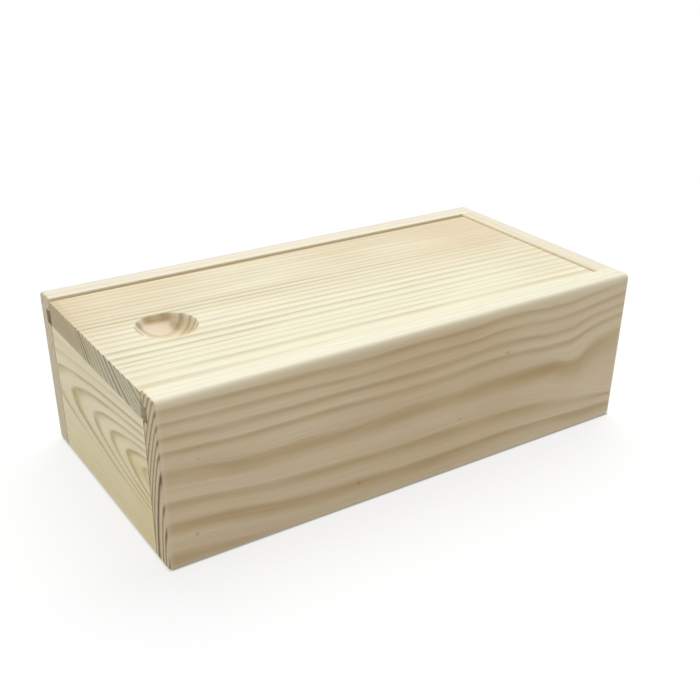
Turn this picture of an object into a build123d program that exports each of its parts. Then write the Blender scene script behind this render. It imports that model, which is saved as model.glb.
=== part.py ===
"""A small pine box for papers and keepsakes. Its lid slides out over the low front wall.

Sizes are in millimetres. X runs along the box, and the lid is drawn out towards -X. Y runs across
it and Z up. The origin is the middle of the underside. Two side walls run the whole length, with
the front and back walls let into them. A thin bottom lies in a rabbet round all four walls, and
the lid's tongues run in a groove round three of them.
"""

import os

from build123d import *

# The closed box, outside
length = 145
width = 75
height = 45

# The walls
side_thickness = 8
end_thickness = 7.5
rim_height = 7.5  # the front wall stays this far under the rim of the others, to let the lid out
housing_depth = 1  # the end walls are let into the side walls this far, and the lips cut back as far
long_edge_round = 1.5  # the top edge of a side wall is sanded more than the other outside edges
edge_round = 0.8
arris_round = 0.3  # edges round the mouth of the box and on the lid

# The bottom, a thin sheet in a rabbet that shows on no outside face
bottom_thickness = 2.5
rabbet_depth = 3.5
bottom_gap = 0.2  # between the edges of the sheet and the rabbet

# The groove for the lid, and the lip above it
groove_height = 4
groove_depth = 3.5
back_lip_setback = 1.5  # the back wall's lip is cut back from its inner face

# The lid
lid_sink = 0.6  # its top lies under the rim
lid_gap = 0.7  # between the lid and the side walls' lips
lid_back_gap = 0.2  # between the shut lid and the back wall's lip
slide_clearance = 0.2  # under the lid, and over its tongues
tongue_gap = 0.6  # between a tongue and the end of its groove
tongue_setback = 5  # the tongues start behind the lid's front end
tongue_lead = 1.5  # their front corners are cut off, so that they find the groove
scoop_distance = 20  # from the lid's front end to the middle of the scoop for a fingertip
scoop_cutter_radius = 10
scoop_depth = 4

# Where the faces of the walls lie
side_outer = width / 2
side_inner = side_outer - side_thickness
side_lip = side_inner + housing_depth
side_groove_end = side_inner + groove_depth
side_rabbet = side_inner + rabbet_depth
side_housing = side_lip
end_outer = length / 2
end_inner = end_outer - end_thickness
back_lip = end_inner + back_lip_setback
back_groove_end = end_inner + groove_depth
end_rabbet = end_inner + rabbet_depth
groove_floor = height - rim_height
groove_top = groove_floor + groove_height

# Where the faces of the lid lie
lid_bottom = groove_floor + slide_clearance
lid_top = height - lid_sink
lid_front = -end_outer
lid_back = back_lip - lid_back_gap
lid_side = side_lip - lid_gap
tongue_top = groove_top - slide_clearance
tongue_front = lid_front + tongue_setback
tongue_back = back_groove_end - tongue_gap
tongue_side = side_groove_end - tongue_gap


def rectangle(x_low, x_high, y_low, y_high):
    """Draw a rectangle in the open sketch, given where its sides lie."""
    with Locations(((x_low + x_high) / 2, (y_low + y_high) / 2)):
        Rectangle(x_high - x_low, y_high - y_low)


# A side wall is a board on edge. Its outside edges are rounded while it is still a plain board.
with BuildPart() as side_wall_left:
    with BuildSketch(Plane.XY):
        rectangle(-end_outer, end_outer, side_inner, side_outer)
    extrude(amount=height)
    long_edges = side_wall_left.edges().filter_by(Axis.X).group_by(Axis.Y)[-1].sort_by(Axis.Z)
    fillet(long_edges[-1], long_edge_round)
    end_edges = side_wall_left.faces().filter_by(Axis.X).edges()
    outside_edges = end_edges.filter_by_position(Axis.Y, side_lip, width)
    fillet(outside_edges + long_edges[:1], edge_round)

    # The groove is open at the front, and ends level with the back wall's groove.
    with BuildSketch(Plane.XY.offset(groove_floor)):
        rectangle(-end_outer, back_groove_end, side_inner, side_groove_end)
    extrude(amount=groove_height, mode=Mode.SUBTRACT)
    with BuildSketch(Plane.XY.offset(groove_top)):
        rectangle(-end_outer, back_lip, side_inner, side_lip)
    extrude(amount=height - groove_top, mode=Mode.SUBTRACT)
    fillet(side_wall_left.edges().sort_by_distance((0, side_lip, height))[0], arris_round)

    # A housing at each end takes an end wall. The front one stops under the lid's groove.
    with BuildSketch(Plane.XY):
        rectangle(-end_outer, -end_inner, side_inner, side_housing)
    extrude(amount=groove_floor, mode=Mode.SUBTRACT)
    with BuildSketch(Plane.XY):
        rectangle(end_inner, end_outer, side_inner, side_housing)
    extrude(amount=height, mode=Mode.SUBTRACT)

    # The rabbet for the bottom stops short of both ends.
    with BuildSketch(Plane.XY):
        rectangle(-end_rabbet, end_rabbet, side_inner, side_rabbet)
    extrude(amount=bottom_thickness, mode=Mode.SUBTRACT)

side_wall_left.part.label = "side_wall_left"

# The other side wall is the same board, mirrored.
with BuildPart() as side_wall_right:
    mirror(side_wall_left.part, about=Plane.XZ)

side_wall_right.part.label = "side_wall_right"

# The front wall is low, and the lid passes over it.
with BuildPart() as front_wall:
    with BuildSketch(Plane.XY):
        rectangle(-end_outer, -end_inner, -side_housing, side_housing)
    extrude(amount=groove_floor)
    cross_edges = front_wall.edges().filter_by(Axis.Y)
    fillet(cross_edges.group_by(Axis.Z)[-1], arris_round)
    fillet(cross_edges.group_by(Axis.Z)[0].sort_by(Axis.X)[0], edge_round)
    with BuildSketch(Plane.XY):
        rectangle(-end_rabbet, -end_inner, -side_housing, side_housing)
    extrude(amount=bottom_thickness, mode=Mode.SUBTRACT)

front_wall.part.label = "front_wall"

# The back wall stands as high as the side walls, and its groove stops the lid.
with BuildPart() as back_wall:
    with BuildSketch(Plane.XY):
        rectangle(end_inner, end_outer, -side_housing, side_housing)
    extrude(amount=height)
    fillet(back_wall.edges().filter_by(Axis.Y).group_by(Axis.X)[-1], edge_round)
    with BuildSketch(Plane.XY.offset(groove_floor)):
        rectangle(end_inner, back_groove_end, -side_housing, side_housing)
    extrude(amount=groove_height, mode=Mode.SUBTRACT)
    with BuildSketch(Plane.XY.offset(groove_top)):
        rectangle(end_inner, back_lip, -side_lip, side_lip)
    extrude(amount=height - groove_top, mode=Mode.SUBTRACT)
    fillet(back_wall.edges().sort_by_distance((back_lip, 0, height))[0], arris_round)
    with BuildSketch(Plane.XY):
        rectangle(end_inner, end_rabbet, -side_housing, side_housing)
    extrude(amount=bottom_thickness, mode=Mode.SUBTRACT)

back_wall.part.label = "back_wall"

# The bottom lies in the rabbets, level with the underside of the walls.
with BuildPart() as bottom_panel:
    with BuildSketch(Plane.XY):
        Rectangle(2 * (end_rabbet - bottom_gap), 2 * (side_rabbet - bottom_gap))
    extrude(amount=bottom_thickness)

bottom_panel.part.label = "bottom_panel"

# The lid is one board: a thick middle between the lips, and thin tongues in the grooves.
with BuildPart() as sliding_lid:
    with BuildSketch(Plane.XY.offset(lid_bottom)):
        rectangle(tongue_front, tongue_back, -tongue_side, tongue_side)
    extrude(amount=tongue_top - lid_bottom)
    upright_edges = sliding_lid.edges().filter_by(Axis.Z)
    chamfer(upright_edges.group_by(Axis.X)[0], tongue_lead)
    with BuildSketch(Plane.XY.offset(lid_bottom)):
        rectangle(lid_front, lid_back, -lid_side, lid_side)
    extrude(amount=lid_top - lid_bottom)

    # A round-nosed cutter, lowered into the top, leaves the scoop that a fingertip pulls on.
    with Locations((lid_front + scoop_distance, 0, lid_top - scoop_depth + scoop_cutter_radius)):
        Sphere(scoop_cutter_radius, mode=Mode.SUBTRACT)
    fillet(sliding_lid.faces().filter_by(Axis.Z).sort_by(Axis.Z)[-1].edges(), arris_round)

sliding_lid.part.label = "sliding_lid"

os.makedirs("parts", exist_ok=True)
export_step(side_wall_left.part, "parts/side_wall_left.step")
export_step(side_wall_right.part, "parts/side_wall_right.step")
export_step(front_wall.part, "parts/front_wall.step")
export_step(back_wall.part, "parts/back_wall.step")
export_step(bottom_panel.part, "parts/bottom_panel.step")
export_step(sliding_lid.part, "parts/sliding_lid.step")
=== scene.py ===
# %% [markdown]
# # A pine box with a sliding lid
#
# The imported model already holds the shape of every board, so this lesson is about what the eye sees
# next: light, and wood. Pine is built here as it grows, as rings round a pith. Each board is then
# cut out of its own trunk, so that the same rings show on its face, its edge and its end grain.

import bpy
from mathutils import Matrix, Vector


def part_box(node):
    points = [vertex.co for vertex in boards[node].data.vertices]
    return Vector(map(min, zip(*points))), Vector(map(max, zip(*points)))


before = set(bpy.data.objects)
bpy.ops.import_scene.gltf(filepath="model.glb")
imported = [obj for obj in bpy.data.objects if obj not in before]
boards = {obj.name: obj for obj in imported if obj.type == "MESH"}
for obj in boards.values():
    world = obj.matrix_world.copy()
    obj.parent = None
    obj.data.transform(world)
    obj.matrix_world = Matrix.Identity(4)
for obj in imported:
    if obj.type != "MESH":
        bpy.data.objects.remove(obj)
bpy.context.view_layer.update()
print("boards:", ", ".join(sorted(boards)))

# %% [markdown]
# ## Camera
#
# The camera stands in front of the low end, to the right and above, as a person looks down on a box
# on a table. A long lens would flatten the box and a short one would stretch its near corner, so
# this one is moderate. It looks down by 30 degrees at the place where the box stands, and the frame
# is shifted up to put the whole box in its middle, as cropping a larger picture would.

# %% Place the camera
import math
import random

import bpy

MM = 0.001  # one millimetre, in metres
camera_place = (-141.43, -216.56, 146.26)  # in millimetres
camera_turn = (60.198, -0.663, -33.324)  # in degrees, about X, Y and Z

camera_data = bpy.data.cameras.new("camera")
camera_data.sensor_width = 36
camera_data.lens = 51.392
camera_data.shift_y = 0.1143
camera_data.clip_start = 0.01
camera = bpy.data.objects.new("camera", camera_data)
camera.location = [value * MM for value in camera_place]
camera.rotation_euler = [math.radians(angle) for angle in camera_turn]
bpy.context.scene.collection.objects.link(camera)
bpy.context.scene.camera = camera
print("camera at", [round(value, 4) for value in camera.location])

# %% [markdown]
# ## Tools for nodes
#
# A wood shader needs some hundred small nodes, and by hand they would be wired up one by one. A few
# helpers keep them readable here: one adds any node and fills its sockets, and the others are the
# sums, soft steps, noises and mixes that come up all the time.

# %% Helpers that add nodes
def add(tree, kind, inputs=None, **settings):
    """Add a node, set its properties, and fill its sockets with values or with links."""
    made = tree.nodes.new(kind)
    for name, value in settings.items():
        setattr(made, name, value)
    for name, value in (inputs or {}).items():
        if isinstance(value, bpy.types.NodeSocket):
            tree.links.new(value, made.inputs[name])
        else:
            made.inputs[name].default_value = value
    return made


def calc(tree, operation, *values):
    """Work out one number from one, two or three others."""
    return add(tree, "ShaderNodeMath", dict(enumerate(values)), operation=operation).outputs[0]


def step(tree, value, low, high, to_low=0.0, to_high=1.0):
    """Go softly from one number to another while value goes from low to high."""
    return add(tree, "ShaderNodeMapRange", {0: value, 1: low, 2: high, 3: to_low, 4: to_high},
               interpolation_type="SMOOTHSTEP").outputs[0]


print("number helpers ready")

# %% Helpers for places
def split(tree, vector):
    """Take a vector apart into its numbers along X, Y and Z."""
    return add(tree, "ShaderNodeSeparateXYZ", {0: vector}).outputs


def join(tree, x, y, z):
    """Make a vector of three numbers."""
    return add(tree, "ShaderNodeCombineXYZ", {0: x, 1: y, 2: z}).outputs[0]


def vector_calc(tree, operation, *vectors):
    """Work out one vector from two others."""
    return add(tree, "ShaderNodeVectorMath", dict(enumerate(vectors)), operation=operation).outputs[0]


def length_of(tree, vector):
    """Measure a vector."""
    return add(tree, "ShaderNodeVectorMath", {0: vector}, operation="LENGTH").outputs["Value"]


def count_in(tree, place, lengths):
    """Count a place in units of the given lengths along X, Y and Z."""
    return vector_calc(tree, "MULTIPLY", place, [1 / length for length in lengths])


def inside_box(tree, point, low, high):
    """Measure how far a point is inside a box, from the nearer face along X, Y and Z."""
    from_low = vector_calc(tree, "SUBTRACT", point, low)
    from_high = vector_calc(tree, "SUBTRACT", high, point)
    return split(tree, vector_calc(tree, "MINIMUM", from_low, from_high))


def smallest_of(tree, x, y, z):
    """Pick the smallest of three numbers."""
    return calc(tree, "MINIMUM", x, calc(tree, "MINIMUM", y, z))


def noise(tree, place, lengths, detail=2.0):
    """Give noise from 0 to 1 whose spots have the given lengths along X, Y and Z."""
    inputs = {"Vector": count_in(tree, place, lengths), "Scale": 1.0, "Detail": detail}
    return add(tree, "ShaderNodeTexNoise", inputs).outputs[0]


print("place helpers ready")

# %% Helpers for colours
def colour(red, green, blue):
    """Turn a colour as a screen shows it, 0 to 255, into the linear one that nodes take."""
    def linear(value):
        value /= 255
        return value / 12.92 if value <= 0.04045 else ((value + 0.055) / 1.055) ** 2.4
    return (linear(red), linear(green), linear(blue), 1.0)


def mix(tree, amount, first, second, blend="MIX"):
    """Mix two colours."""
    made = add(tree, "ShaderNodeMix", {0: amount, 6: first, 7: second},
               data_type="RGBA", blend_type=blend)
    return made.outputs[2]


def tinted(tree, base, tint, amount=1.0):
    """Multiply a colour by a tint."""
    return mix(tree, amount, base, tint, "MULTIPLY")


def grey_tint(tree, value):
    """Make a grey of a number, to multiply a colour by."""
    return add(tree, "ShaderNodeCombineColor", {0: value, 1: value, 2: value}).outputs[0]


print("pale pine in linear light:", [round(value, 3) for value in colour(242, 223, 189)[:3]])

# %% Helpers for node groups
def new_group(name, inputs, outputs):
    """Start a node group. Each socket is given as its name and Float, Vector or Color."""
    tree = bpy.data.node_groups.new(name, "ShaderNodeTree")
    for side, sockets in (("INPUT", inputs), ("OUTPUT", outputs)):
        for socket, kind in sockets.items():
            tree.interface.new_socket(socket, in_out=side, socket_type="NodeSocket" + kind)
    given = tree.nodes.new("NodeGroupInput").outputs
    wanted = tree.nodes.new("NodeGroupOutput").inputs
    return tree, given, wanted


def use_group(tree, name, inputs):
    """Place a group in a tree and fill its sockets."""
    return add(tree, "ShaderNodeGroup", inputs, node_tree=bpy.data.node_groups[name]).outputs


print("group helpers ready")

# %% [markdown]
# ## Growth rings
#
# Every year a tree adds a broad pale ring and closes it with a thin dark one, the latewood. It
# darkens slowly and stops sooner, so a ring's outer edge is the sharper one. How sharp it looks
# depends on the slant at which the saw met the ring. A striped ramp would be even on both sides.
# This group takes the age of the wood at a point, counted in rings from the pith, and shapes that
# year by hand: Late Share is how long it darkens, and Winter is how quickly that ends.

# %% Group: growth_rings
warms_late = 1.4  # over 1, the pale part of a ring turns warm late in the year

tree, given, wanted = new_group(
    "growth_rings",
    {"Age": "Float", "Late Share": "Float", "Winter": "Float", "Strength": "Float"},
    {"Late": "Float", "Tone": "Float"},
)
season = calc(tree, "FRACT", given["Age"])
darkest = calc(tree, "SUBTRACT", 1.0, given["Winter"])
late_start = calc(tree, "SUBTRACT", darkest, given["Late Share"])
darkening = step(tree, season, late_start, darkest)
winter = step(tree, season, darkest, 1.0, 1.0, 0.0)
late = calc(tree, "MULTIPLY", calc(tree, "MULTIPLY", darkening, winter), given["Strength"])
tone = calc(tree, "MULTIPLY", calc(tree, "POWER", season, warms_late), winter)
tree.links.new(late, wanted["Late"])
tree.links.new(tone, wanted["Tone"])
print("growth_rings:", len(tree.nodes), "nodes")

# %% [markdown]
# ## Fibres
#
# Between the rings, wood is bundles of fibres, long along the grain and thin across it. Noise that
# is stretched along the grain gives them: a fine one for single bundles, a broad one for streaks
# where the wood is a little warmer. Broader still are places with a blush of pink or of yellow. A
# few short brown dashes are resin canals that the plane cut open: cells of a Voronoi pattern, of
# which only one in twenty or so is kept.

# %% Group: wood_fibres
bundle_size = (14, 0.3, 0.3)  # all sizes in millimetres, along the grain and across it
streak_size = (90, 2.4, 2.4)
cloud_size = (45, 14, 14)
blush_size = (26, 8, 8)
canal_spacing = (4.5, 1.9, 1.9)
canal_reach = (0.05, 0.12)  # in spacings, from the solid middle of a dash to its end
canal_rarity = (0.93, 0.95)

tree, given, wanted = new_group(
    "wood_fibres",
    {"Place": "Vector"},
    {"Fibre": "Float", "Streak": "Float", "Cloud": "Float", "Blush": "Float", "Resin": "Float"},
)
place = given["Place"]
cell = add(tree, "ShaderNodeTexVoronoi",
           {"Vector": count_in(tree, place, canal_spacing), "Scale": 1.0})
lot = add(tree, "ShaderNodeSeparateColor", {0: cell.outputs["Color"]}).outputs[0]
dash = step(tree, cell.outputs["Distance"], *canal_reach, 1.0, 0.0)
resin = calc(tree, "MULTIPLY", dash, step(tree, lot, *canal_rarity))
tree.links.new(noise(tree, place, bundle_size, 3.0), wanted["Fibre"])
tree.links.new(noise(tree, place, streak_size), wanted["Streak"])
tree.links.new(noise(tree, place, cloud_size), wanted["Cloud"])
tree.links.new(noise(tree, place, blush_size, 1.0), wanted["Blush"])
tree.links.new(resin, wanted["Resin"])
print("wood_fibres:", len(tree.nodes), "nodes")

# %% [markdown]
# ## End grain
#
# Where a saw cuts across the fibres, their open ends drink the light: end grain is darker, greyer
# and rougher than the face of the same board. The angle between the surface and the grain says how
# much of it shows, so it also comes up by itself inside the lid's scoop.

# %% Group: end_grain
pore_size = (6, 0.22, 0.22)  # in millimetres, along the grain and across it
ray_size = (9, 2.2, 0.35)
shows_from, shows_fully = 0.2, 0.78  # how far a surface faces along the grain, from 0 to 1

tree, given, wanted = new_group(
    "end_grain",
    {"Place": "Vector", "Normal": "Vector", "Grain": "Vector"},
    {"End": "Float", "Pores": "Float"},
)
along = add(tree, "ShaderNodeVectorMath", {0: given["Normal"], 1: given["Grain"]},
            operation="DOT_PRODUCT").outputs["Value"]
across = step(tree, calc(tree, "ABSOLUTE", along), shows_from, shows_fully)
pores = noise(tree, given["Place"], pore_size)
rays = noise(tree, given["Place"], ray_size, 1.0)
tree.links.new(across, wanted["End"])
tree.links.new(calc(tree, "MULTIPLY", calc(tree, "ADD", pores, rays), 0.5), wanted["Pores"])
print("end_grain:", len(tree.nodes), "nodes")

# %% [markdown]
# ## Sanded edges
#
# Sandpaper takes most off where two faces meet, so the outer edges of a new box are its palest
# wood. The group measures how near a point is to an edge of its board. On a surface one of the
# three distances to the board's faces is nothing, so the second smallest is the one that counts.
# Noise makes the pale line wider in one place than in another, as a hand with sandpaper does.

# %% Group: sanded_edges
least_reach, more_reach = 0.6, 0.8  # shares of Reach: the least, and what the noise adds to it
uneven_size = (6, 6, 6)

tree, given, wanted = new_group(
    "sanded_edges",
    {"Point": "Vector", "Low": "Vector", "High": "Vector", "Reach": "Float"},
    {"Edge": "Float"},
)
x, y, z = inside_box(tree, given["Point"], given["Low"], given["High"])
smallest = smallest_of(tree, x, y, z)
largest = calc(tree, "MAXIMUM", x, calc(tree, "MAXIMUM", y, z))
total = calc(tree, "ADD", x, calc(tree, "ADD", y, z))
second = calc(tree, "SUBTRACT", total, calc(tree, "ADD", smallest, largest))
uneven = calc(tree, "MULTIPLY", noise(tree, given["Point"], uneven_size), more_reach)
reach = calc(tree, "MULTIPLY", given["Reach"], calc(tree, "ADD", uneven, least_reach))
tree.links.new(step(tree, second, 0.0, reach, 1.0, 0.0), wanted["Edge"])
print("sanded_edges:", len(tree.nodes), "nodes")

# %% [markdown]
# ## Marks
#
# A few things sit at one place on the box: the shut joints between its boards, the raw inside of
# the lid's groove, which is also darkened as painted shade, a small bud, and painted shade and light
# in the lid's scoop. Each is a mark: a soft box or a soft egg in space, paired with a tint that
# darkens the wood inside it. Painting them on the faces would leave seams at the edges. The two
# halves of the box are alike, so a soft box is mirrored, while a soft egg stands alone.

# %% Helpers that place marks
soft_border = 0.1  # in millimetres, to either side of a soft box's faces
egg_core = 0.25  # a soft egg is solid up to this share of its reach


def mirrored(tree, point):
    """Fold the right half of the box onto the left half."""
    x, y, z = split(tree, point)
    return join(tree, x, calc(tree, "ABSOLUTE", y), z)


def soft_box(low, high):
    """Pick out what lies between two corners, on both halves of the box."""
    def mask(tree, point):
        x, y, z = inside_box(tree, mirrored(tree, point), low, high)
        return step(tree, smallest_of(tree, x, y, z), -soft_border, soft_border)
    return mask


def soft_egg(middle, reach):
    """Pick out what lies about a point, fading out at the given distances along X, Y and Z."""
    def mask(tree, point):
        away = count_in(tree, vector_calc(tree, "SUBTRACT", point, middle), reach)
        return step(tree, length_of(tree, away), egg_core, 1.0, 1.0, 0.0)
    return mask


shut_joint = colour(176, 160, 132)
# raw wood inside the groove, darkened further as painted shade in the recess
raw_wood_and_groove_shade = colour(222, 219, 206)
joints_in_side_wall = [(soft_box((-73, 30.2, -1), (-64.9, 30.7, 37.4)), shut_joint),
                       (soft_box((66.6, 30.2, -1), (73, 30.7, 44.2)), shut_joint)]
joint_in_end_wall = (soft_box((-73, 30.3, -1), (73, 30.8, 44.2)), shut_joint)
groove_in_side_wall = (soft_box((-73, 29, 37.4), (70, 33.1, 41.6)), raw_wood_and_groove_shade)
groove_in_back_wall = (soft_box((60, -1, 37.4), (68.6, 40, 41.6)), raw_wood_and_groove_shade)
print("marks at the joints:", len(joints_in_side_wall), "in each side wall, 1 in each end wall")

# %% [markdown]
# ## A trunk's record
#
# No two years are alike. A ring is written here as a pair, its width in millimetres and how dark its
# latewood is, and a list of them is a trunk's record. Two curves carry it into the shader: distance
# from the pith to age, and age to strength. Noise alone would give rings, but not these rings.

# %% Turn a list of rings into curves
def curve(tree, value, points, handles="VECTOR"):
    """Send a number through a curve given as (value, result) pairs."""
    low, high = points[0][0], points[-1][0]
    results = [result for _, result in points]
    bottom, top = min(results), max(results)
    share = add(tree, "ShaderNodeMapRange", {0: value, 1: low, 2: high}).outputs[0]
    bent = add(tree, "ShaderNodeFloatCurve", {"Value": share})
    line = bent.mapping.curves[0]
    while len(line.points) < len(points):
        line.points.new(0.5, 0.5)
    for point, (start, result) in zip(line.points, points):
        point.location = ((start - low) / (high - low), (result - bottom) / (top - bottom))
        point.handle_type = handles
    bent.mapping.update()
    return add(tree, "ShaderNodeMapRange", {0: bent.outputs[0], 3: bottom, 4: top}).outputs[0]


def read_rings(tree, distance, first, rings):
    """Give a point's age and its ring's strength. The record's first ring starts at first."""
    ends = [first]
    for width, _ in rings:
        ends.append(ends[-1] + width)
    age = curve(tree, distance, [(end, year) for year, end in enumerate(ends)])
    middle = calc(tree, "ADD", calc(tree, "FLOOR", age), 0.5)
    strength = curve(tree, middle, [(year + 0.5, dark) for year, (_, dark) in enumerate(rings)])
    return age, strength


def plain_rings(count, width, dark, seed):
    """Make a record of ordinary years round a mean width and darkness."""
    draw = random.Random(seed)
    return [(width * draw.uniform(0.7, 1.3), dark * draw.uniform(0.4, 1.6)) for _ in range(count)]


print("an ordinary record:", [round(width, 2) for width, _ in plain_rings(5, 1.8, 0.5, 1)])

# %% [markdown]
# ## The trunk
#
# A trunk is round but not quite: its rings wander in and out a little. So the distance from the pith
# gets some slow noise before the record is read.

# %% A trunk from its record
wander_size = (60, 9, 9)  # in millimetres, along the grain and across it


def trunk(first, rings, wander):
    """Count the years from the pith at zero, by a trunk's record."""
    def years(tree, place):
        _, y, z = split(tree, place)
        squares = calc(tree, "ADD", calc(tree, "POWER", y, 2.0), calc(tree, "POWER", z, 2.0))
        unsteady = calc(tree, "SUBTRACT", noise(tree, place, wander_size, 3.0), 0.5)
        radius = calc(tree, "MULTIPLY_ADD", unsteady, wander, calc(tree, "SQRT", squares))
        return read_rings(tree, radius, first, rings)
    return years


print("a ring changes its course over about", wander_size[0], "mm of grain")

# %% [markdown]
# ## What wood lies at a point
#
# Every pine material has the same build. The board's own coordinates are turned so that X runs
# along its grain with the pith at zero. From there come age, rings, fibres and end grain. The
# fibres fray the edges of the rings, and their dark line comes and goes along the grain. A picture
# of a plank would be quicker, but it would end at the edge of the one face that it was taken from.

# %% Read a board's wood
fray = 0.10  # how far a bundle of fibres moves the edge of a ring, in rings
line_size = (24, 3, 3)  # how far a dark line holds its strength, in millimetres
line_least, line_most = 0.65, 1.25
bundle_dark, bundle_light = 0.955, 1.03
sanded_reach = 2.0  # in millimetres


def read_wood(tree, node, turn, pith, years, bend, fade, share, winter):
    """Find the ring, the fibres, the cut and the edge at each point of a board."""
    coordinates = add(tree, "ShaderNodeTexCoord").outputs
    normal = coordinates["Normal"]
    point = add(tree, "ShaderNodeVectorMath", {0: coordinates["Object"], "Scale": 1 / MM},
                operation="SCALE").outputs[0]
    straight = bend(tree, point) if bend else point
    angle = math.radians(turn)
    place = add(tree, "ShaderNodeMapping",
                {"Vector": straight, "Location": pith, "Rotation": (0, 0, angle)}).outputs[0]
    fibres = use_group(tree, "wood_fibres", {"Place": place})
    bundle = step(tree, fibres["Fibre"], 0.3, 0.7, bundle_dark, bundle_light)
    age, strength = years(tree, place)
    age = calc(tree, "MULTIPLY_ADD", fibres["Fibre"], fray, age)
    grown = use_group(tree, "growth_rings",
                      {"Age": age, "Late Share": share, "Winter": winter, "Strength": strength})
    held = step(tree, noise(tree, place, line_size, 1.0), 0.25, 0.75, line_least, line_most)
    line = calc(tree, "MULTIPLY", grown["Late"], held)
    if fade:
        line = calc(tree, "MULTIPLY", line, fade(tree, point))
    grain = (math.cos(angle), -math.sin(angle), 0)
    cut = use_group(tree, "end_grain", {"Place": place, "Normal": normal, "Grain": grain})
    low, high = [[value / MM for value in corner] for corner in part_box(node)]
    edges = use_group(tree, "sanded_edges",
                      {"Point": point, "Low": low, "High": high, "Reach": sanded_reach})
    return {"point": point, "normal": normal, "fibres": fibres, "bundle": bundle,
            "late": grown["Late"], "tone": grown["Tone"], "line": line,
            "end": cut["End"], "pores": cut["Pores"], "edge": edges["Edge"]}


print("wood is read from", len(bpy.data.node_groups), "node groups")

# %% [markdown]
# ## Colour along the grain
#
# Along its fibres, pine goes from nearly white to a warm straw: with the season, in streaks and in
# wide clouds. These add up to one number, the warmth, which mixes two colours. The latewood is not a
# third colour but a tint that multiplies them, because it is the same wood, grown denser. Bundles of
# fibres and resin canals come last, and the sanded edge pales all of it.

# %% Colour of a board's face
season_warms, streaks_warm, clouds_warm = 0.35, 1.0, 0.8
coolest = -0.35  # the warmth of a board with none of them
pinkish = (1.0, 0.99, 0.99, 1)
yellowish = (1.0, 1.0, 0.965, 1)
resin_brown = colour(150, 118, 78)
sanded_pale = colour(246, 238, 212)
resin_shows, edge_pales = 0.35, 0.35


def face_colour(tree, wood, pale, warm, late_tint, warmer):
    """Paint the wood as it looks along its fibres."""
    fibres = wood["fibres"]
    warmth = calc(tree, "ADD", calc(tree, "MULTIPLY", wood["tone"], season_warms),
                  calc(tree, "MULTIPLY_ADD", fibres["Streak"], streaks_warm, coolest))
    clouds = calc(tree, "SUBTRACT", fibres["Cloud"], 0.5)
    warmth = calc(tree, "MULTIPLY_ADD", clouds, clouds_warm, warmth)
    if warmer:
        warmth = calc(tree, "ADD", warmth, warmer(tree, wood["point"]))
    warmth = add(tree, "ShaderNodeClamp", {0: warmth}).outputs[0]
    face = mix(tree, warmth, pale, warm)
    blush = mix(tree, step(tree, fibres["Blush"], 0.35, 0.65), pinkish, yellowish)
    face = tinted(tree, face, blush)
    face = tinted(tree, face, late_tint, wood["line"])
    face = tinted(tree, face, grey_tint(tree, wood["bundle"]))
    face = mix(tree, calc(tree, "MULTIPLY", fibres["Resin"], resin_shows), face, resin_brown)
    return mix(tree, calc(tree, "MULTIPLY", wood["edge"], edge_pales), face, sanded_pale)


print("resin canals in linear light:", [round(value, 3) for value in resin_brown[:3]])

# %% [markdown]
# ## The rim: sanding pale and painted light
#
# The top of a wall is its palest place, in two stages. Towards the rim the outer face turns pale,
# because sandpaper took its old surface off, and the rounding gets painted light as well. The level
# top gets a colour of its own, a painted highlight, with only a breath of the rings and the streaks
# left. Height and the way the surface faces tell the two apart, so nothing has to be painted on the
# rounding by hand.

# %% Colour of the rim
rim_height = 45.0  # in millimetres over the table
pale_from, pale_until = rim_height - 3.2, rim_height - 0.2
level_counts = 1.4  # a level surface counts as so many millimetres higher: painted light on faces turned up
top_from, top_until = rim_height - 1.0, rim_height - 0.1
# the rounding's colour: pale from sanding, and painted light
rounding_sanded_and_lit = colour(255, 242, 209)
rounding_share = 0.95
rings_left = 0.3
streak_dark = 0.955


def paint_rim_and_highlight(tree, wood, face, rim, late_tint):
    """Lay the rim over a face colour: sanding pale and painted light below, a painted highlight on
    top.
    """
    upward = split(tree, wood["normal"])[2]
    height = split(tree, wood["point"])[2]
    # painted light on the rounding, with the pale of sanding: faces turned up count higher and turn
    # paler
    raised = calc(tree, "MULTIPLY_ADD", upward, level_counts, height)
    sanded_and_lit = step(tree, raised, pale_from, pale_until, 0.0, rounding_share)
    face = mix(tree, sanded_and_lit, face, rounding_sanded_and_lit)
    # painted highlight on the level top
    level = step(tree, upward, 0.5, 1.0)
    top = calc(tree, "MULTIPLY", level, step(tree, height, top_from, top_until))
    ringed = tinted(tree, rim, late_tint, calc(tree, "MULTIPLY", wood["line"], rings_left))
    streaks = step(tree, wood["fibres"]["Streak"], 0.35, 0.65, streak_dark, 1.0)
    grain = calc(tree, "MULTIPLY", streaks, wood["bundle"])
    return mix(tree, top, face, tinted(tree, ringed, grey_tint(tree, grain)))


print("a wall turns pale from", pale_from, "mm up")

# %% [markdown]
# ## End grain, relief and gloss
#
# The end grain has its own pair of colours, for early and late wood, broken up by its pores. The
# relief is a hundredth of a millimetre or so, because sanding digs out the soft early wood between
# the hard late lines, and some hundredths on end grain, where the open fibres stay rough. It is too
# small to model, so it goes into a bump. The late lines are also the smoothest wood, so they shine
# a little more.

# %% Colour across the grain, relief and gloss
pore_dark, pore_light = 0.86, 1.08
late_stands, fibre_stands, pore_stands = 0.006, 0.012, 0.07  # in millimetres
smooth_fibre, rough_fibre = 0.52, 0.62
late_shines, end_dulls = -0.10, 0.22  # added to the roughness


def end_colour(tree, wood, end_pale, end_late):
    """Paint the wood as it looks where its fibres were cut across."""
    shade = step(tree, wood["pores"], 0.3, 0.7, pore_dark, pore_light)
    return tinted(tree, mix(tree, wood["late"], end_pale, end_late), grey_tint(tree, shade))


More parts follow.
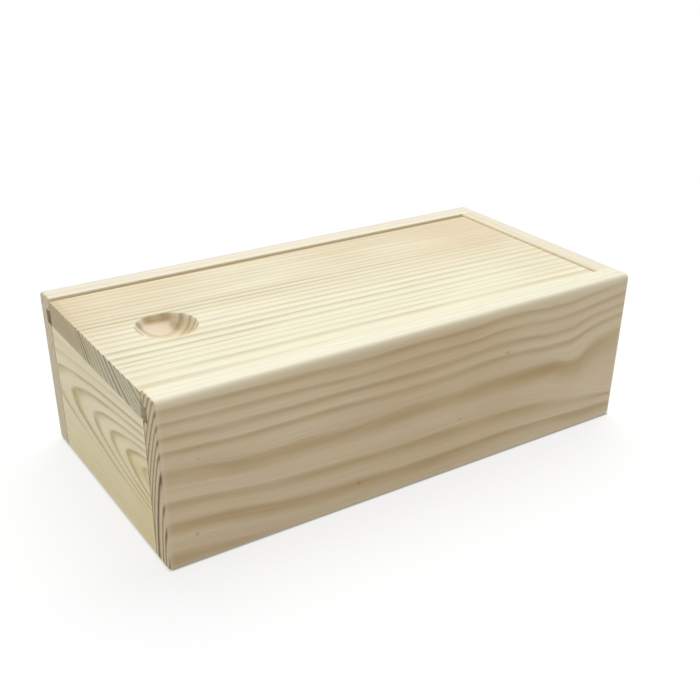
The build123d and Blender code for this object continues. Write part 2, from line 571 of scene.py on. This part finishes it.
def surface_height(tree, wood):
    """Give the height of the surface after sanding, in millimetres."""
    height = calc(tree, "MULTIPLY", wood["late"], late_stands)
    height = calc(tree, "MULTIPLY_ADD", wood["fibres"]["Fibre"], fibre_stands, height)
    open_ends = calc(tree, "MULTIPLY", wood["pores"], wood["end"])
    return calc(tree, "ADD", height, calc(tree, "MULTIPLY", open_ends, pore_stands))


def dullness(tree, wood):
    """Give the roughness: smoother on late lines, rougher on end grain."""
    by_fibre = step(tree, wood["fibres"]["Fibre"], 0.3, 0.7, smooth_fibre, rough_fibre)
    along = calc(tree, "MULTIPLY_ADD", wood["late"], late_shines, by_fibre)
    return calc(tree, "MULTIPLY_ADD", wood["end"], end_dulls, along)


print("open fibre ends stand up to", pore_stands, "mm proud")

# %% [markdown]
# ## One board of pine
#
# Now a board is a list of what sets it apart: how it lay in its trunk, the trunk's record, and its
# colours. The shader itself stands in the material, where an export can read it, and not in a group.

# %% Build a pine material
wood_specular = 0.35  # bare wood, without a finish, has a weak gloss


def board(node, turn, pith, years, tints, end_tints, bend=None, warmer=None, fade=None,
          share=0.45, winter=0.22, rim=None, marks=()):
    """Make the wood of one board and put it on its node.

    turn is the angle in degrees about Z that lays the grain along X, and pith is what then brings
    the pith to zero. years reads the trunk. tints are the pale, warm and late colours, end_tints
    those of the end grain, and rim is the colour of a wall's level top, a painted highlight over
    wood pale from sanding. bend straightens the grain, warmer and fade say where the wood is warmer
    and its lines weaker.
    """
    material = bpy.data.materials.new("wood_" + node)
    material.use_nodes = True
    tree = material.node_tree
    shader = tree.nodes["Principled BSDF"]
    wood = read_wood(tree, node, turn, pith, years, bend, fade, share, winter)
    pale, warm, late = tints
    late_tint = [dark / light for dark, light in zip(late, pale)]
    face = face_colour(tree, wood, pale, warm, late_tint, warmer)
    if rim:
        face = paint_rim_and_highlight(tree, wood, face, rim, late_tint)
    base = mix(tree, wood["end"], face, end_colour(tree, wood, *end_tints))
    for mask, tint in marks:
        base = tinted(tree, base, tint, mask(tree, wood["point"]))
    bump = add(tree, "ShaderNodeBump",
               {"Height": surface_height(tree, wood), "Distance": MM, "Strength": 1.0})
    tree.links.new(base, shader.inputs["Base Color"])
    tree.links.new(dullness(tree, wood), shader.inputs["Roughness"])
    tree.links.new(bump.outputs[0], shader.inputs["Normal"])
    shader.inputs["Specular IOR Level"].default_value = wood_specular
    boards[node].data.materials.clear()
    boards[node].data.materials.append(material)
    print(material.name, "has", len(tree.nodes), "nodes")


print("boards to finish:", len(boards))

# %% [markdown]
# ## How the grain sways in the near side wall
#
# The near side wall was sawn far out in the trunk, nearly along its rings, so its face shows broad
# soft bands. They sway, because the trunk was not straight, and at the far end the grain opens round
# the foot of a branch. Five curves along the board say how far the grain dips, from low to high on
# it. Undoing that dip gives the straight trunk that the rings belong to, so the bands bend without
# being drawn.

# %% Curves of the dip
# Each pair is a place along the board and the dip there, in millimetres.
dips_at_foot = ((-72.5, 0), (-62, 1.3), (-50, 3.0), (-38, 4.3), (-24, 5.6), (0, 6.1), (24, 5.3),
                (42, 5.8), (54, 6.9), (62, 7.7), (72.5, 8.2))
dips_low = ((-72.5, 0), (-62, 0.9), (-50, 2.6), (-38, 4.4), (-24, 5.3), (0, 6.4), (24, 6.3),
            (42, 7.5), (54, 9.1), (62, 10.1), (72.5, 11.5))
dips_middle = ((-72.5, 0), (-62, 1.4), (-44, 3.6), (-24, 3.7), (0, 3.2), (16, 3.5), (42, 3.1),
               (50, 4.1), (54, 4.6), (58, 3.5), (62, 2.3), (66, 1.7), (72.5, 1.2))
dips_high = ((-72.5, 0), (-62, 0.8), (-50, 1.6), (-24, 1.7), (0, 2.4), (8, 2.3), (24, 1.5),
             (36, 1.8), (46, 2.6), (50, 2.6), (54, 2.1), (58, 0.9), (62, 0.0), (72.5, -1.3))
dips_at_rim = ((-72.5, 0), (-50, 0.8), (-32, 1.2), (-16, 1.7), (0, 1.4), (16, 1.4), (27, 0.8),
               (36, 1.0), (46, 1.6), (54, 1.2), (62, 0.4), (72.5, -0.6))

# Each curve takes over from the one before it between two heights on the board.
takes_over = ((dips_low, 4.5, 8.5), (dips_middle, 8.5, 24.5), (dips_high, 22.5, 30.0),
              (dips_at_rim, 32.5, 38.0))


def swaying_grain(tree, point):
    """Lift each point by the dip of its grain."""
    x, y, z = split(tree, point)
    dip = curve(tree, x, dips_at_foot, "AUTO_CLAMPED")
    for dips, start, end in takes_over:
        higher = curve(tree, x, dips, "AUTO_CLAMPED")
        change = calc(tree, "SUBTRACT", higher, dip)
        dip = calc(tree, "MULTIPLY_ADD", step(tree, z, start, end), change, dip)
    return join(tree, x, y, calc(tree, "ADD", z, dip))


print("the grain dips by up to", max(dip for _, dip in dips_low), "mm")

# %% [markdown]
# ## The near side wall
#
# Its record has one broad ring, and the others are of nearly one width. From the low end to the
# middle the wood grows a little warmer, and from there paler, up to the far end. A few buds, cut
# through when the board was planed, leave small dark spots, and one long patch is a shade darker.

# %% The near side wall
side_rings = [(1.14, 0.75), (1.4, 0.95), (1.53, 0.85), (2.9, 1.0), (1.5, 0.8), (1.5, 0.75),
              (1.52, 0.7), (1.76, 0.75), (1.75, 0.6), (1.8, 0.7), (1.8, 0.6), (1.8, 0.7), (1.8, 0.6)]


def side_warmth(tree, point):
    """Make the wall warmer up to its middle, and pale at the far end.

    Each step goes from one place along the wall to another, in millimetres, and changes the warmth
    from one number to another between them. The steps of the other boards are read in the same way.
    """
    x = split(tree, point)[0]
    middle = step(tree, x, -30.0, 0.0, 0.2, 0.35)
    far_end = step(tree, x, 15.0, 60.0, 0.0, -0.45)
    return calc(tree, "ADD", middle, far_end)


bud = colour(238, 225, 204)
side_marks = [groove_in_side_wall,
              (soft_egg((40, -37.5, 22.2), (17, 2, 2.6)), colour(243, 240, 225)),  # the long patch
              (soft_egg((28.5, -37.5, 31.5), (1.3, 2, 0.7)), bud),
              (soft_egg((-19, -37.5, 6.3), (0.9, 2, 0.9)), bud),
              (soft_egg((-64.7, -37.5, 7.9), (0.7, 2, 0.8)), colour(226, 222, 214))]  # a greyer bud
board("side_wall_right", turn=0.0, pith=(0, 127, 6), years=trunk(89.2, side_rings, wander=0.3),
      tints=(colour(242, 223, 189), colour(227, 201, 160), colour(218, 195, 152)),
      end_tints=(colour(222, 204, 166), colour(108, 88, 60)),
      bend=swaying_grain, warmer=side_warmth, share=0.42, winter=0.28,
      # rim: the colour of the level top, a painted highlight
      rim=colour(250, 245, 219), marks=joints_in_side_wall + side_marks)

# %% [markdown]
# ## The low front wall
#
# Its grain runs across the box. The trunk leans a little against the board, so the saw ran out of one
# ring into the next, and each leaves a pointed arch. Turning the grain by nearly four degrees is all
# that this takes: the arches are not drawn. Below them the board is plain and a little yellower.

# %% The front wall
front_rings = [(0.8, 0.6)] * 6 + [(0.6, 0.9), (0.7, 0.8), (0.75, 0.95), (1.07, 1.0), (1.1, 0.9),
                                  (1.5, 0.3), (1.6, 0.15), (1.6, 0.15), (1.6, 0.15)]
plain_until, ringed_from = 12.2, 14.6  # heights in the middle of the board, in millimetres
far_side_higher = 0.06  # those heights rise by this for each millimetre towards the far side


def plain_below(tree, point):
    """Leave the rings out of the lowest part of the board."""
    _, y, z = split(tree, point)
    return step(tree, calc(tree, "MULTIPLY_ADD", y, -far_side_higher, z), plain_until, ringed_from)


def warm_below(tree, point):
    """Make the lowest part of the board yellower."""
    return step(tree, split(tree, point)[2], 6.0, 30.0, 0.6, -0.2)


olive = colour(248, 243, 222)
front_marks = [(soft_egg((-72.5, 17.5, 22.5), (2, 5, 3)), olive),
               (soft_egg((-72.5, -22, 21), (2, 8, 3.5)), olive),
               (soft_egg((-72.5, -30, 14), (3, 18, 26)), colour(250, 247, 240))]  # the near corner
board("front_wall", turn=-86.28, pith=(0, -51.88, -22), years=trunk(14.0, front_rings, wander=0.5),
      tints=(colour(244, 233, 199), colour(231, 216, 170), colour(196, 181, 130)),
      end_tints=(colour(205, 190, 152), colour(150, 130, 92)),
      warmer=warm_below, fade=plain_below, share=0.48, winter=0.16,
      marks=[joint_in_end_wall] + front_marks)

# %% [markdown]
# ## The lid's wood
#
# The lid was cut from the side of a trunk, so its rings meet the top face at a slant and leave close
# straight lines, wider apart on the near side. They run at a small angle to the board. On the far
# side, nearer the bark, the lines are faint, and towards the back they are nearly gone. The ends and
# the far side are warmer. One long patch is paler and another warmer, each the shape of a stroke
# with sandpaper. In the scoop the floor is paled and its lines are cleared, as painted light.

# %% Where the lid's wood changes
lid_rings = [(2.0, 0.5), (2.2, 0.45), (2.2, 0.75), (1.5, 0.55), (1.5, 0.5), (1.2, 0.6), (2.1, 0.95),
             (2.4, 0.9), (2.3, 0.7), (2.2, 0.65), (2.1, 0.45), (1.8, 0.5), (2.1, 0.6), (1.7, 1.3),
             (1.9, 0.7), (1.7, 0.35), (1.6, 0.3), (2.0, 0.35), (2.2, 0.35), (2.1, 0.3), (1.9, 0.3),
             (1.9, 0.25), (2.0, 0.25), (2.0, 0.25)]
pale_stroke = soft_egg((-20, 20, 44), (34, 13, 60))
warm_stroke = soft_egg((42, 6, 44), (34, 9, 60))
# painted light: the scoop's floor is paled and its lines cleared
painted_light_floor = soft_egg((-53.5, 5, 41.8), (8, 3.2, 1.8))
strokes_and_lit_floor = ((pale_stroke, -0.5), (painted_light_floor, -0.6), (warm_stroke, 0.25))  # each with its warmth


def lid_warmth(tree, point):
    """Warm the far side and ends, change the strokes, and pale the scoop's floor as painted light."""
    x, y, _ = split(tree, point)
    front = step(tree, x, -73.0, -60.0, 0.3, 0.0)
    back = step(tree, x, 30.0, 60.0, 0.0, 0.25)
    across = step(tree, y, -20.0, 28.0, -0.35, 0.6)
    warmth = calc(tree, "ADD", calc(tree, "ADD", front, back), across)
    for mask, change in strokes_and_lit_floor:
        warmth = calc(tree, "MULTIPLY_ADD", mask(tree, point), change, warmth)
    return warmth


def lid_fade(tree, point):
    """Weaken the far side's lines towards the back, and clear the scoop's floor as painted light."""
    x, y, _ = split(tree, point)
    far = step(tree, y, -3.0, 4.0, 0.25, 0.75)
    weaker = calc(tree, "MULTIPLY", far, step(tree, x, 10.0, 45.0))
    return calc(tree, "SUBTRACT", 1.0, calc(tree, "MAXIMUM", weaker, painted_light_floor(tree, point)))


print("rings in the lid's record:", len(lid_rings))

# %% [markdown]
# ## The lid's scoop and its sawn end
#
# A round-nosed cutter leaves the scoop. It cuts cleanly along the grain but tears the fibres where
# its path turns across them, which leaves small darker spots on both slopes. Painted shade darkens
# the slope behind, the part under the far rim and the deepest part. The lid's front end is raw from
# the saw, and greyer than the planed face, and painted shade darkens its far side.

# %% The lid
scoop_marks_and_light = [(soft_egg((-52, 3, 41), (8.5, 9, 3.6)), colour(255, 249, 246)),  # the whole hollow
               (soft_egg((-52, 7.2, 43.4), (9, 4, 1.1)), colour(234, 217, 200)),  # painted shade under the far rim
               (soft_egg((-53.5, 5.4, 42.1), (8, 3.2, 1.8)), colour(254, 246, 250)),  # the floor's tint, part of its painted light
               (soft_egg((-53, 2.4, 40.9), (8, 3.5, 1.6)), colour(249, 244, 241)),  # painted shade in the deepest part
               (soft_egg((-57.8, 5, 43.5), (1.5, 2.5, 1.4)), colour(228, 224, 222)),  # torn, in front
               (soft_egg((-48.8, 3.9, 42), (1.6, 3, 1.6)), colour(227, 222, 221)),  # torn, behind
               (soft_egg((-47, 1.5, 42.6), (5, 8, 3)), colour(231, 221, 204))]  # painted shade on the slope behind
end_marks_and_shade = [(soft_box((-75, -1, 30), (-72.3, 40, 46)), colour(232, 230, 224)),  # raw from the saw
             (soft_egg((-72.5, 30, 41), (3, 42, 8)), colour(237, 230, 217))]  # painted shade on the far side, by the groove
board("sliding_lid", turn=1.7, pith=(0, 47.95, -85), years=trunk(40.7, lid_rings, wander=0.5),
      tints=(colour(247, 242, 214), colour(231, 214, 180), colour(219, 211, 181)),
      end_tints=(colour(240, 231, 204), colour(148, 131, 101)),
      warmer=lid_warmth, fade=lid_fade, share=0.5, marks=scoop_marks_and_light + end_marks_and_shade)

# %% [markdown]
# ## The walls at the back
#
# The other side wall and the back wall are plainer boards, with weak rings. Nobody would miss a
# single ring there, so their records are drawn at random, each from a seed of its own, which gives
# the same boards every time.

# %% The back walls
board("side_wall_left", turn=0.0, pith=(0, -13.5, -18),
      years=trunk(6.0, plain_rings(24, 1.7, 0.4, seed=5), wander=0.9),
      tints=(colour(242, 227, 194), colour(232, 211, 172), colour(208, 186, 140)),
      end_tints=(colour(222, 210, 180), colour(190, 170, 134)),
      # rim: the colour of the level top, a painted highlight
      rim=colour(249, 240, 217), marks=joints_in_side_wall + [groove_in_side_wall])
board("back_wall", turn=-88.0, pith=(0, 30, 50),
      years=trunk(60.0, plain_rings(40, 1.7, 0.45, seed=11), wander=0.9),
      tints=(colour(242, 227, 192), colour(232, 211, 170), colour(206, 184, 136)),
      end_tints=(colour(214, 198, 164), colour(160, 136, 100)),
      # rim: the colour of the level top, a painted highlight
      rim=colour(245, 236, 212), marks=[joint_in_end_wall, groove_in_back_wall])

# %% [markdown]
# ## The bottom
#
# A thin bottom is plywood, because a solid board of that size would curl. Its outer sheet is peeled
# off a turning log, so it keeps just under one ring for a long way and cuts it in wide loops. A
# slowly changing noise, read as the wood's age, gives such loops from the same growth rings.

# %% The bottom
loop_size = (110, 24, 24)  # in millimetres, along the grain and across it
years_in_sheet = 11.0
peeled_strength = 0.6


def peeled(tree, place):
    """Say how old the wood of a peeled sheet is."""
    return calc(tree, "MULTIPLY", noise(tree, place, loop_size), years_in_sheet), peeled_strength


board("bottom_panel", turn=1.0, pith=(13, 7, 31), years=peeled,
      tints=(colour(236, 218, 180), colour(224, 201, 156), colour(198, 170, 124)),
      end_tints=(colour(200, 182, 146), colour(150, 126, 92)))

# %% [markdown]
# ## Floor
#
# A small object is easiest to judge on a pale floor. A real white table would throw so much light
# up that the walls lose their shape, so this floor is grey to the lamps and glows a little by
# itself. It is a plain square, laid just under the box so that no two faces share a place.

# %% Lay the floor
floor_drop = 0.05  # in millimetres
floor_size = 8.0  # in metres

bpy.ops.object.select_all(action="DESELECT")
bpy.ops.mesh.primitive_plane_add(size=floor_size, location=(0, 0, -floor_drop * MM))
floor = bpy.context.object
floor.name = "floor"
material = bpy.data.materials.new("white_floor")
material.use_nodes = True
tree = material.node_tree
tree.nodes.clear()
floor.data.materials.append(material)
print("floor of", floor_size, "by", floor_size, "m")

# %% [markdown]
# ## The line where the box stands
#
# Where a wall meets the table lies a dark line, narrower than a millimetre. The floor's own glow
# would wash it out, so the glow has to know about it. Ambient Occlusion says how open each place of
# the floor is within a short reach. It is asked towards the back and the left, where the lamps are.
# So the line is dark along the near wall, which shuts them out, and faint at the low end, where
# their light comes in.

# %% The floor's contact line
line_reach = 0.7  # in millimetres
line_depth = 1.2  # over 1, the line is darker
towards_lamps = (-0.55, 0.6, 0.58)

openness = add(tree, "ShaderNodeAmbientOcclusion",
               {"Distance": line_reach * MM, "Normal": join(tree, *towards_lamps)}).outputs["AO"]
open_share = calc(tree, "POWER", openness, line_depth)
print("the contact line reaches", line_reach, "mm from the walls")

# %% [markdown]
# ## What the box gets and what the eye sees
#
# A ray's kind tells who asks. Light that bounces up to the box finds a grey floor with a weak glow.
# The eye finds a stronger glow, on which the grey part still takes the box's soft shadow, and away
# from the box all of it goes over into white. From below the floor is clear, so that the underside
# can be looked at. The glow does not count as a lamp: a floor so close under the box, taken as a
# lamp of two triangles, would light the underside with a hard edge between them.

# %% The floor's light
floor_grey = (0.25, 0.25, 0.25, 1)
glow_for_box = 0.41
glow_for_eye = 0.77
white_from, white_until = 0.16, 0.34  # in metres from the middle of the box


def glow(tree, strength):
    """Make a surface that gives off white light."""
    return add(tree, "ShaderNodeEmission", {"Color": (1, 1, 1, 1), "Strength": strength}).outputs[0]


def choose(tree, amount, first, second):
    """Go from one shader to another."""
    return add(tree, "ShaderNodeMixShader", {0: amount, 1: first, 2: second}).outputs[0]


grey = add(tree, "ShaderNodeBsdfDiffuse", {"Color": floor_grey}).outputs[0]
for_box = add(tree, "ShaderNodeAddShader", {0: grey, 1: glow(tree, glow_for_box)}).outputs[0]
eye_glow = glow(tree, calc(tree, "MULTIPLY", open_share, glow_for_eye))
near_box = add(tree, "ShaderNodeAddShader", {0: grey, 1: eye_glow}).outputs[0]
distance = length_of(tree, add(tree, "ShaderNodeTexCoord").outputs["Object"])
far_off = step(tree, distance, white_from, white_until)
for_eye = choose(tree, far_off, near_box, glow(tree, 1.0))
rays = add(tree, "ShaderNodeLightPath").outputs
by_eye = calc(tree, "MAXIMUM", rays["Is Camera Ray"], rays["Is Glossy Ray"])
from_above = choose(tree, by_eye, for_box, for_eye)
underneath = add(tree, "ShaderNodeNewGeometry").outputs["Backfacing"]
clear = add(tree, "ShaderNodeBsdfTransparent").outputs[0]
add(tree, "ShaderNodeOutputMaterial", {"Surface": choose(tree, underneath, from_above, clear)})
material.cycles.emission_sampling = "NONE"
print("white_floor has", len(tree.nodes), "nodes")

# %% [markdown]
# ## Lamps
#
# Soft light shows wood best, because hard light fills it with glare. One wide lamp stands high
# behind the box and lights its top. A weaker one on the left lights the low end, so that each side
# of the box has its own tone. The sky fills the rest, weakly, while the eye sees it plain white.

# %% Lamps and sky
sky_strength = 0.34


def sun(name, strength, spread, direction):
    """Add a wide soft lamp that shines from a direction."""
    lamp = bpy.data.lights.new(name, "SUN")
    lamp.energy = strength * math.pi
    lamp.angle = math.radians(spread)
    holder = bpy.data.objects.new(name, lamp)
    x, y, z = direction
    holder.rotation_euler = (math.atan2(math.hypot(x, y), z), 0, math.atan2(x, -y))
    bpy.context.scene.collection.objects.link(holder)
    print(name, "shines with strength", strength)


sun("lamp_behind", strength=0.67, spread=50, direction=(0.35, 0.35, 0.87))
sun("lamp_left", strength=0.24, spread=70, direction=(-0.9, 0.0, 0.35))
world = bpy.data.worlds.new("studio")
bpy.context.scene.world = world
world.use_nodes = True
tree = world.node_tree
tree.nodes.clear()
seen = add(tree, "ShaderNodeLightPath").outputs["Is Camera Ray"]
sky = add(tree, "ShaderNodeBackground", {"Color": (1, 1, 1, 1), "Strength": sky_strength})
white = add(tree, "ShaderNodeBackground", {"Color": (1, 1, 1, 1), "Strength": 1.0})
backdrop = choose(tree, seen, sky.outputs[0], white.outputs[0])
add(tree, "ShaderNodeOutputWorld", {"Surface": backdrop})
bpy.context.scene.view_settings.view_transform = "Standard"
print("the sky shines with strength", sky_strength)
